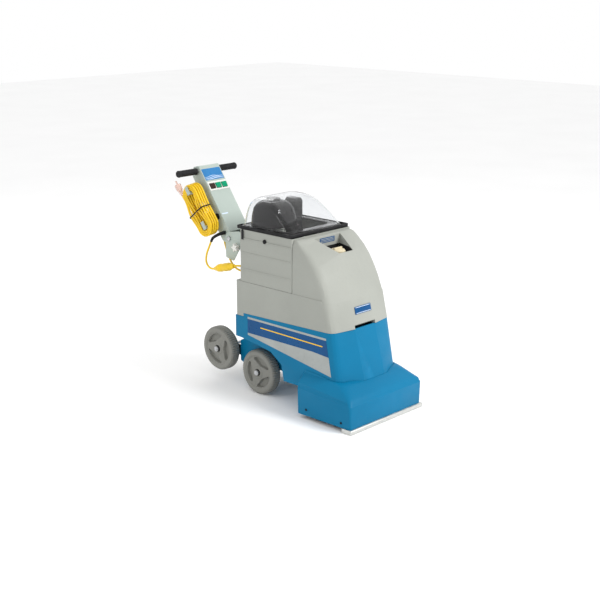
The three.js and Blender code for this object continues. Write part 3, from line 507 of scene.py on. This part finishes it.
def make_cords():
    pigtail = smooth_points([station(*p) for p in PIGTAIL], 8)
    flex = cord_curve("pigtail_flex", pigtail, CORD / 2, "console", "yellow",
                      ("pigtail_cord",))
    lead = [station(*p) for p in LEAD] + [console(*p) for p in LEAD_BEHIND_CONSOLE]
    way = [(-80, 89, 244)] + hank_points() + HANK_END
    line = smooth_points(lead + [console(*p) for p in way], 4)
    mains = cord_curve("mains_cord", line, CORD / 2, "console", "yellow",
                       ("mains_lead", "cord_hank"))
    print("cord lengths", length_of(pigtail), length_of(line))


make_cords()


# ---- base --------------------------------------------------------------------------------------
def flat_piece(name, outline, thickness, to_world, body, material, bevel=0.0002):
    """A thin film from a flat outline; to_world places (u, v, height above the face)."""
    bm = bmesh.new()
    low = [bm.verts.new(to_world(u, v, 0)) for u, v in outline]
    high = [bm.verts.new(to_world(u, v, thickness)) for u, v in outline]
    count = len(outline)
    for i in range(count):
        j = (i + 1) % count
        bm.faces.new((low[i], low[j], high[j], high[i]))
    bm.faces.new(high)
    bm.faces.new(low[::-1])
    bmesh.ops.triangulate(bm, faces=[f for f in bm.faces if len(f.verts) > 4])
    return from_bmesh(name, bm, body, material)


# Screw heads with a recess: radius and height above the face, in metres.
HOOD_SCREW = [(0, -0.001), (0.0052, -0.001), (0.0052, 0.0006), (0.0046, 0.0016), (0.0028, 0.0021),
              (0.0026, 0.0012), (0, 0.0012)]
BACK_SCREW = [(0, -0.001), (0.0038, -0.001), (0.0038, 0.0005), (0.0032, 0.0013), (0.0016, 0.0016),
              (0.0015, 0.0007), (0, 0.0007)]


def make_base():
    body = eased("base_shell", "base_body", "root", "blue", 0.0025, 4, math.radians(21))
    keep_creases(body.data, 0.055, 0.072, station(0, -330, 0).y)
    eased("brush_hood", "hood_moulding", "root", "blue", 0.002, 4)
    eased("vacuum_shoe", "shoe_bar", "root", "alloy", 0.001)
    for side, name in ((-1, "left"), (1, "right")):
        def on_side(u, v, height, side=side):
            return station(side * (185.0 + height), u, v)
        top = [(140, 363), (140, 354), (-326, 354), (-325, 363)]
        band = [(140, 353.4), (140, 291), (-250, 291), (-340, 284.6), (-326.2, 353.4)]
        swoosh = [(140, 290.2), (140, 281), (-355, 202), (-340.2, 283.6), (-250, 290.2)]
        stripe = [(60, 331), (60, 326.5), (-306, 322), (-306, 326.5)]
        flat_piece(f"label_line_{name}", top, 0.6, on_side, "root", "silver")
        flat_piece(f"label_band_{name}", band, 0.6, on_side, "root", "navy")
        flat_piece(f"label_sweep_{name}", swoosh, 0.6, on_side, "root", "silver")
        flat_piece(f"label_stripe_{name}", stripe, 0.8, on_side, "root", "amber")
        for k, (y, z) in enumerate(((-256, 46), (-452, 40))):
            turned(f"hood_screw_{name}_{k}", HOOD_SCREW, station(side * 230.6, y, z), (side, 0, 0), 20,
                   "root", "black")


WHEEL_TURN = {"front": 112, "rear": 60}
POCKET_SPAN = math.radians(46)


def pocket_depth(r, angle, turn):
    """Depth of the three kidney pockets at a polar place on a wheel's face."""
    deepest = 0.0
    for step in (0, 120, 240):
        middle = math.radians(turn + step)
        off = math.atan2(math.sin(angle - middle), math.cos(angle - middle))
        near = 0.034 + 0.026 * (off / POCKET_SPAN) ** 2
        inside = min(r - near, 0.0705 - r, (POCKET_SPAN - abs(off)) * 0.058)
        share = min(1.0, max(0.0, inside / 0.0035))
        deepest = max(deepest, share * share * (3 - 2 * share))
    return 0.014 * deepest


def make_wheel(name, node, side, turn):
    """Moulded wheel: three kidney pockets in the outer face, ribbed tread, dark hub ring."""
    low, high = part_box(node)
    centre = (low + high) / 2
    half = (high.x - low.x) / 2
    radius = (high.z - low.z) / 2
    turns, teeth = 240, 60
    body = [
        (0.0085, -half + 0.004), (0.024, -half + 0.004), (0.028, -half + 0.009), (0.072, -half + 0.009),
        (0.077, -half + 0.001), (0.088, -half), (0.0935, -half + 0.001), (0.0985, -half + 0.0045),
        (radius, -half + 0.010), (radius, -half + 0.016), (radius, 0.0), (radius, half - 0.016),
        (radius, half - 0.010), (0.0985, half - 0.0045),
        (0.0935, half - 0.001), (0.088, half), (0.080, half - 0.0002), (0.0765, half - 0.0022),
        (0.0745, half - 0.0048), (0.0728, half - 0.0052),
    ]
    for i in range(30):
        r = 0.0715 - 0.00142 * i
        body.append((r, half - 0.0053 + 0.0023 * (0.074 - r) / 0.046))
    body += [
        (0.0285, half - 0.0028), (0.0265, half - 0.0008), (0.025, half), (0.017, half),
        (0.0155, half - 0.001), (0.0145, half - 0.003), (0.0085, half - 0.003),
    ]

    rows = []
    for r, along in body:
        ring = []
        for i in range(turns):
            angle = 2 * math.pi * i / turns
            rr, aa = r, along
            if r > 0.0935:
                rib = 0.5 + 0.5 * math.cos(teeth * angle)
                groove = 0.0034 * (1 - min(1.0, 1.7 * rib)) if abs(along) > half - 0.017 else 0.0
                rr = r - groove
                aa = along - math.copysign(groove * 0.5, along) if abs(along) > half - 0.011 else along
            if along > 0 and 0.030 < r < 0.0716:
                aa -= pocket_depth(r, angle, turn)
            ring.append(centre + Vector((side * aa, rr * math.cos(angle), rr * math.sin(angle))))
        rows.append(ring)
    bm = grid_bmesh(rows + [rows[0]], caps=False)
    bmesh.ops.remove_doubles(bm, verts=bm.verts, dist=1e-6)
    from_bmesh(f"{name}_moulding", bm, name, "wheel", (node,), math.radians(40))
    seal = [(0.0088, half - 0.0028), (0.0142, half - 0.0028), (0.0142, half - 0.0006), (0.013, half + 0.0002),
            (0.0105, half + 0.0002), (0.0088, half - 0.0008), (0.0088, half - 0.0028)]
    turned_ring(f"{name}_hub_ring", seal, centre, (side, 0, 0), 32, name, "rubber")


def make_running_gear():
    for end in ("front", "rear"):
        for side, name in ((-1, "left"), (1, "right")):
            make_wheel(f"wheel_{end}_{name}", f"wheel_{end}_{name}", side, WHEEL_TURN[end])
        eased(f"{end}_axle", f"{end}_axle_rod", "root", "steel", 0.0008)
    for name in ("left", "right"):
        eased(f"front_axle_block_{name}", f"front_axle_mount_{name}", "root", "steel", 0.0015)
        eased(f"rear_axle_bracket_{name}", f"rear_axle_arm_{name}", "root", "black", 0.001)
    eased("handle_frame", "handle_yoke", "root", "sheet", 0.0009)
    eased("pivot_bolt", "pivot_hex_bolt", "root", "steel", 0.0009)
    moulded("star_knob", "star_knob_moulding", "star_knob", "white", 0.0012, 3)


CORE_RADIUS = 0.0225
CORE = [(0.009, -0.1872), (0.009, -0.1815), (0.023, -0.181), (0.023, 0.171), (0.009, 0.1715), (0.009, 0.1872)]
TRIANGLE = ((1, 0), (-0.5, 0.87), (-0.5, -0.87))


def add_strand(bm, root, tip, out):
    """One tapering three-sided bristle bundle that points along out."""
    side = Vector((1, 0, 0))
    cross = out.cross(side).normalized()
    foot, end = ([bm.verts.new(place + (side * a + cross * b) * size) for a, b in TRIANGLE]
                 for place, size in ((root, 0.0014), (tip, 0.0011)))
    for i in range(3):
        j = (i + 1) % 3
        bm.faces.new((foot[i], foot[j], end[j], end[i]))
    bm.faces.new(end)
    bm.faces.new(foot[::-1])


def make_brush():
    low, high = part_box("brush_roller")
    centre = (low + high) / 2
    radius = (high.z - low.z) / 2
    turned("brush_core", CORE, centre, (1, 0, 0), 32, "brush", "white")
    bm = bmesh.new()
    columns, around = 58, 12
    for column in range(columns):
        x = low.x + 0.014 + (high.x - low.x - 0.034) * column / (columns - 1)
        middle = Vector((x, centre.y, centre.z))
        for k in range(around):
            angle = 2 * math.pi * (k / around) + column * 0.115
            for strand in range(3):
                tilt = angle + (strand - 1) * 0.055 + RNG.uniform(-0.02, 0.02)
                reach = radius - 0.0006 - RNG.uniform(0, 0.0012)
                out = Vector((RNG.uniform(-0.04, 0.04), math.cos(tilt), math.sin(tilt))).normalized()
                root = middle + Vector((0, math.cos(angle), math.sin(angle))) * CORE_RADIUS
                add_strand(bm, root, middle + out * reach, out)
    from_bmesh("brush_tufts", bm, "brush", "bristle", ("brush_roller",))


HOSE = [(0, -477, 19.2), (0, -477, 76), (0, -458, 124), (0, -412, 156), (0, -358, 184), (0, -312, 235),
        (0, -300, 300), (0, -300, 370.6)]


def make_inner_parts():
    for node, material, slot, width in (
        ("brush_motor", "motor", "motor_black", 0.002), ("vacuum_motor", "alloy", "motor_alloy", 0.002),
        ("solution_pump", "motor", "motor_black", 0.002), ("spray_bar", "steel", "zinc_steel", 0.0006),
        ("brush_bearing_left", "black", "black_rim", 0.0012),
        ("brush_bearing_right", "black", "black_rim", 0.0012),
        ("drive_belt", "rubber", "black_rubber", 0.0006),
    ):
        eased(node, f"{node}_finished", "root", material, width)
    eased("brush_pulley", "brush_pulley_finished", "brush", "black", 0.0006)
    eased("motor_pulley", "motor_pulley_finished", "motor_pulley", "steel", 0.0006)
    line = smooth_points([station(*p) for p in HOSE], 26)
    rows = []
    for i, place in enumerate(line):
        radius = 0.0135 + 0.0013 * math.cos(i * math.pi)
        side = Vector((1, 0, 0))
        rows.append(circle_at(place, side, heading(line, i).cross(side).normalized(), radius, 20))
    from_bmesh("vacuum_hose_ribbed", grid_bmesh(rows), "root", "rubber", ("vacuum_hose",),
               math.radians(80))


# ---- tanks and lid -----------------------------------------------------------------------------
def make_tanks():
    tank = eased("solution_tank", "solution_tank_moulding", "solution_tank", "grey", 0.0025, 4,
                 math.radians(21))
    keep_creases(tank.data, 0.038, 0.068, station(0, -262, 0).y)
    eased("recovery_tank", "recovery_tank_moulding", "recovery_tank", "grey", 0.002, 4,
          math.radians(12))
    low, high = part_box("recovery_tank")
    for side, name in ((-1, "left"), (1, "right")):
        for k, z in enumerate((574, 648, 709)):
            def on_wall(u, v, height, side=side):
                return Vector((side * (183.0 + height) * MM, u, v * MM))
            y0, y1 = low.y + 0.008, high.y - 0.016
            bead = [(y0, z), (y1, z), (y1, z + 3.5), (y0, z + 3.5)]
            flat_piece(f"tank_bead_{name}_{k}", bead, 2.2, on_wall, "recovery_tank", "grey")
    eased("fill_cap", "filler_cap", "fill_cap", "beige", 0.0015)
    eased("nameplate", "front_plate", "solution_tank", "navy", 0.0006)
    tilt = math.atan(35.5 / 146)

    def on_plate(u, v, height):
        back = -1.1 - height
        y = -363.8 + back * math.cos(tilt) + v * math.sin(tilt)
        return station(u, y, 461.3 - back * math.sin(tilt) + v * math.cos(tilt))

    for k, (low, high) in enumerate(((-13, -11), (11, 13))):
        flat_piece(f"front_plate_rule_{k}", [(-44, low), (44, low), (44, high), (-44, high)], 0.4, on_plate,
                   "solution_tank", "pale")

    def in_recess(u, v, height):
        return station(u, -158.05 - height, v)

    label = [(-45, 713), (47, 713), (47, 735), (-45, 735)]
    flat_piece("filler_label", label, 0.5, in_recess, "solution_tank", "navy")
    for k in range(3):
        z = 716.5 + 6 * k
        rule = [(-40, z), (42, z), (42, z + 2.6), (-40, z + 2.6)]
        flat_piece(f"filler_label_rule_{k}", rule, 0.8, in_recess, "solution_tank", "silver")
    # Painted shade: black sheets on the walls of the filler recess below its rim, and on its floor, stand in
    # for the shadow down in the hole; they are not a rubber liner.
    rear = [(-79.5, 672.2), (79.5, 672.2), (79.5, 698), (-79.5, 698)]
    flat_piece("filler_recess_shade_rear", rear, 0.6, in_recess, "solution_tank", "rubber")
    along = Vector((42 - 81, -268 + 158)).normalized()
    for side, name in ((-1, "left"), (1, "right")):
        def on_cheek(u, v, height, side=side):
            x = 81 + along.x * u + along.y * (height + 0.1)
            y = -158 + along.y * u - along.x * (height + 0.1)
            return station(side * x, y, v)
        wall = [(1, 672.2), (115.5, 672.2), (115.5, 688), (100, 694), (88, 698), (1, 698)]
        flat_piece(f"filler_recess_shade_{name}", wall, 0.6, on_cheek, "solution_tank", "rubber")
    # Painted shade on the recess floor, as on its walls.
    floor = [(-79.5, -159), (79.5, -159), (41.5, -266.8), (-41.5, -266.8)]
    flat_piece("filler_recess_shade_floor", floor, 0.2, lambda u, v, height: station(u, v, 672.03 + height),
               "solution_tank", "rubber")
    for side, name in ((-1, "left"), (1, "right")):
        stud = [(0.0, 0), (0.0095, 0), (0.0095, 0.003), (0.0085, 0.0048), (0.006, 0.0056), (0, 0.0056)]
        turned(f"side_stud_{name}", stud, station(side * 183.2, 31, 715), (side, 0, 0), 24,
               "recovery_tank", "black")
        eased(f"latch_strap_{name}", f"latch_{name}_rubber", f"latch_{name}", "rubber",
              0.0006)
    for node, material, slot in (
        ("standpipe", "grey", "grey_shell"), ("float_cage", "white", "float_white"),
        ("inlet_duct", "smoke", "grey_shell"),
    ):
        eased(node, f"{node}_finished", "recovery_tank", material, 0.0008)
    low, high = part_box("float_ball")
    bm = bmesh.new()
    bmesh.ops.create_uvsphere(bm, u_segments=32, v_segments=20, radius=(high.z - low.z) / 2,
                              matrix=Matrix.Translation((low + high) / 2))
    from_bmesh("float_ball_finished", bm, "float_ball", "white", ("float_ball",),
               math.radians(60))


def ring_points(z, half, y0, y1, corner, middle=0, steps=10):
    out = []
    corners = ((half - corner, y0 + corner, -90), (half - corner, y1 - corner, 0),
               (-half + corner, y1 - corner, 90), (-half + corner, y0 + corner, 180))
    for cx, cy, start in corners:
        for i in range(steps + 1):
            angle = math.radians(start + 90 * i / steps)
            out.append(station(middle + cx + corner * math.cos(angle), cy + corner * math.sin(angle), z))
    return out


# height, half width, front, rear, corner radius
DOME = [(762.6, 162.6, -99, 195.4, 24), (770, 158.6, -91.4, 193.6, 24), (800, 154.6, -59.6, 190.6, 25),
        (832, 148.6, -21.6, 185.6, 27), (856, 140.6, 12, 178.6, 28), (868, 132, 34, 171, 28),
        (876, 121, 54, 162, 27), (880.4, 110, 65, 153, 25), (881.8, 100, 74, 145, 22)]
BOWL = [(762.6, 83.6, 12.4, 181.6, 52), (800, 81.6, 14.4, 180.6, 52), (836, 74.6, 21.4, 173.6, 48),
        (852, 66, 30, 165, 45), (861, 56, 40, 156, 42), (866.6, 44.6, 51.4, 147.6, 38),
        (868.6, 36.6, 61.4, 136.6, 34), (869.6, 31, 70, 132, 30), (875.6, 30.4, 70.6, 131.4, 30),
        (876.8, 28.6, 72.4, 129.6, 28)]


def thin_cover(name, rings, inset, drop, middle, material, node):
    """Open-bottomed cover of even wall thickness, drawn from its outer rings."""
    def lowered(z):
        return z - drop * min(1, (z - 762) / 30)
    skins = (
        [ring_points(z, half, y0, y1, r, middle) for z, half, y0, y1, r in rings],
        [ring_points(lowered(z), half - inset, y0 + inset, y1 - inset, r - inset, middle)
         for z, half, y0, y1, r in rings],
    )
    bm = bmesh.new()
    sheets = [[[bm.verts.new(p) for p in row] for row in skin] for skin in skins]
    size = len(sheets[0][0])
    for sheet in sheets:
        for a, b in zip(sheet, sheet[1:]):
            for i in range(size):
                j = (i + 1) % size
                bm.faces.new((a[i], a[j], b[j], b[i]))
        bm.faces.new(sheet[-1])
    rim, under = sheets[0][0], sheets[1][0]
    for i in range(size):
        j = (i + 1) % size
        bm.faces.new((rim[i], rim[j], under[j], under[i]))
    from_bmesh(name, bm, "lid", material, (node,), math.radians(32))


def make_lid():
    eased("lid_frame", "lid_gasket_frame", "lid", "rubber", 0.0015)
    eased("lid_plate", "lid_smoked_plate", "lid", "smoke", 0.0012)
    thin_cover("dome_clear", DOME, 2.8, 2.4, 0, "clear", "dome")
    thin_cover("separator_bowl_smoked", BOWL, 2.4, 2.6, -62, "smoke", "separator_bowl")


# ---- console -----------------------------------------------------------------------------------
CONSOLE_FACE_MM = -15.2       # front of the console, where its printed films lie


def on_face(u, v, height):
    return console(u, CONSOLE_FACE_MM - height, v)


def wave(level, swing, phase, width, left=-54, right=54, steps=32):
    """Outline of one wavy printed stripe."""
    upper = []
    lower = []
    for i in range(steps + 1):
        u = left + (right - left) * i / steps
        v = level + swing * math.sin(phase + u * 0.075)
        half = width * (0.35 + 0.65 * math.sin(math.pi * (i + 1) / (steps + 2)))
        upper.append((u, v + half))
        lower.append((u, v - half))
    return lower + upper[::-1]


# Printed waves: level, swing, phase and half width.
WAVES = ((296, 1.8, 0.4, 1.6), (302, 2.4, 1.2, 1.3), (308, 2.8, 2.0, 1.0))


def make_grip(name, side):
    """Ribbed rubber grip on one end of the T-bar."""
    low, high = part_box(f"grip_{name}")
    centre = (low + high) / 2
    centre.x = high.x if side < 0 else low.x
    length = high.x - low.x
    profile = [(0.0115, 0), (0.0153, 0.0004), (0.0158, 0.002), (0.0158, 0.006), (0.0138, 0.008)]
    ribs = 15
    for i in range(ribs):
        at = 0.010 + (length - 0.024) * i / ribs
        pitch = (length - 0.024) / ribs
        profile += [(0.0136, at), (0.0150, at + pitch * 0.25), (0.0150, at + pitch * 0.65),
                    (0.0136, at + pitch * 0.9)]
    profile += [(0.0150, length - 0.012), (0.0158, length - 0.010), (0.0158, length - 0.004),
                (0.0140, length - 0.0008), (0.0, length)]
    turned(f"grip_{name}_ribbed", profile, centre, (side, 0, 0), 36, "console", "rubber",
           (f"grip_{name}",), math.radians(50))


def make_console():
    eased("console_shell", "console_box", "console", "sheet", 0.0012)
    eased("console_rear_cover", "console_back_plate", "console", "sheet", 0.0008)
    eased("switch_plate", "switch_surround", "console", "white", 0.0006)
    panel = [(-56, 290), (56, 290), (56, 345), (53.5, 348), (-53.5, 348), (-56, 345)]
    flat_piece("control_panel_film", panel, 0.5, on_face, "console", "panel")
    for k, shape in enumerate(WAVES):
        flat_piece(f"control_wave_{k}", wave(*shape), 0.8, on_face, "console", "pale")
    for k, name in enumerate(("power", "vacuum", "pump")):
        eased(f"rocker_{name}", f"rocker_{name}_cap", f"rocker_{name}", "brown" if k == 0 else "green",
              0.0011)
    eased("side_socket", "breaker_socket", "console", "black", 0.0008)
    eased("reset_button", "reset_button_cap", "reset_button", "black", 0.0008)
    caption = [(-54, 114), (-18, 114), (-18, 120), (-54, 120)]
    flat_piece("socket_label", caption, 0.4, on_face, "console", "pale")
    eased("handle_bar", "handle_tube", "console", "steel", 0.0008)
    for name in ("upper", "lower"):
        eased(f"cord_hook_{name}", f"cord_hook_{name}_finished", "console", "sheet", 0.001)
    for side, name in ((-1, "left"), (1, "right")):
        make_grip(name, side)
    outward = console(0, 1, 0) - console(0, 0, 0)
    for x in (-52, 52):
        for z in (30, 130, 230, 318):
            turned(f"back_screw_{x}_{z}".replace("-", "n"), BACK_SCREW, console(x, 50.2, z), outward, 18,
                   "console", "steel")


def make_hank_tie():
    """Flat strap round the waist of the hank."""
    x0, x1, front, rear, corner = -122, -79.6, 4, 117.2, 12
    spots = []
    for cx, cy, start in ((x1 - corner, front + corner, -90), (x1 - corner, rear - corner, 0),
                          (x0 + corner, rear - corner, 90), (x0 + corner, front + corner, 180)):
        spots += [(cx, cy, math.radians(start + 90 * i / 8)) for i in range(9)]
    rows = []
    for out, z in ((0, 176), (1.5, 176), (1.5, 181), (0, 181)):
        row = []
        for cx, cy, angle in spots:
            x = cx + (corner + out) * math.cos(angle)
            y = cy + (corner + out) * math.sin(angle) - HANK_LEAN * (x + 100.5)
            row.append(console(x, y, z + 3 * math.sin(y * 0.03)))
        rows.append(row)
    bm = grid_bmesh(rows + [rows[0]], caps=False)
    bmesh.ops.remove_doubles(bm, verts=bm.verts, dist=1e-6)
    from_bmesh("hank_tie", bm, "console", "rubber")


BOOT = [(-76, 416, 677), (-89, 431, 669), (-99, 451, 654), (-103, 459.6, 637)]


def make_cord_fittings():
    route = [console(-62, 14, 36)] + [station(*p) for p in BOOT]
    line = smooth_points(route, 10)
    side = heading(line, 0).orthogonal().normalized()
    rows = []
    for i, place in enumerate(line):
        share = i / (len(line) - 1)
        ahead = heading(line, i)
        radius = 0.0088 - 0.0028 * share
        if 0.18 < share < 0.92:
            radius -= 0.0008 * (i % 3 == 0)
        if i:
            side = (side - ahead * side.dot(ahead)).normalized()
        rows.append(circle_at(place, side, ahead.cross(side), radius, 24))
    from_bmesh("strain_relief_boot", grid_bmesh(rows), "console", "rubber",
               ("strain_relief",), math.radians(50))
    for node, material in (("cord_connector", "yellow"), ("mains_plug", "plug")):
        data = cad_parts[node].data
        data.materials.clear()
        data.materials.append(MATERIALS[material])


make_base()
make_running_gear()
make_brush()
make_inner_parts()
make_tanks()
make_lid()
make_console()
make_cord_fittings()
make_hank_tie()


# ---- floor and light ---------------------------------------------------------------------------
def make_stage():
    bm = bmesh.new()
    bmesh.ops.create_grid(bm, x_segments=2, y_segments=2, size=14)
    mesh = bpy.data.meshes.new("floor")
    bm.to_mesh(mesh)
    bm.free()
    floor = bpy.data.objects.new("floor", mesh)
    bpy.context.scene.collection.objects.link(floor)
    n = Nodes("floor_white")
    pale = n.ramp(n.noise(1.5, 2), [(0.3, (0.93, 0.93, 0.93)), (0.7, (0.95, 0.95, 0.95))])
    n.link(pale, n.shader.inputs["Base Color"])
    n.shader.inputs["Roughness"].default_value = 0.9
    n.shader.inputs["Specular IOR Level"].default_value = 0.1
    mesh.materials.append(n.material)
    world = bpy.data.worlds.new("studio")
    bpy.context.scene.world = world
    world.use_nodes = True
    world.node_tree.nodes["Background"].inputs["Color"].default_value = (1, 1, 1, 1)
    world.node_tree.nodes["Background"].inputs["Strength"].default_value = 1.0
    bpy.context.scene.view_settings.view_transform = "Standard"
    for name, place, size, power in (
        ("key", (0.8, -3.4, 2.9), 1.3, 105),
        ("fill", (-3.2, 1.2, 2.6), 1.2, 12),
        ("rim", (1.8, 2.6, 3.2), 1.6, 16),
    ):
        data = bpy.data.lights.new(name, "AREA")
        data.size = size
        data.energy = power
        lamp = bpy.data.objects.new(name, data)
        bpy.context.scene.collection.objects.link(lamp)
        lamp.location = place
        lamp.rotation_euler = (Vector((0, 0, 0.45)) - lamp.location).to_track_quat("-Z", "Y").to_euler()


make_stage()
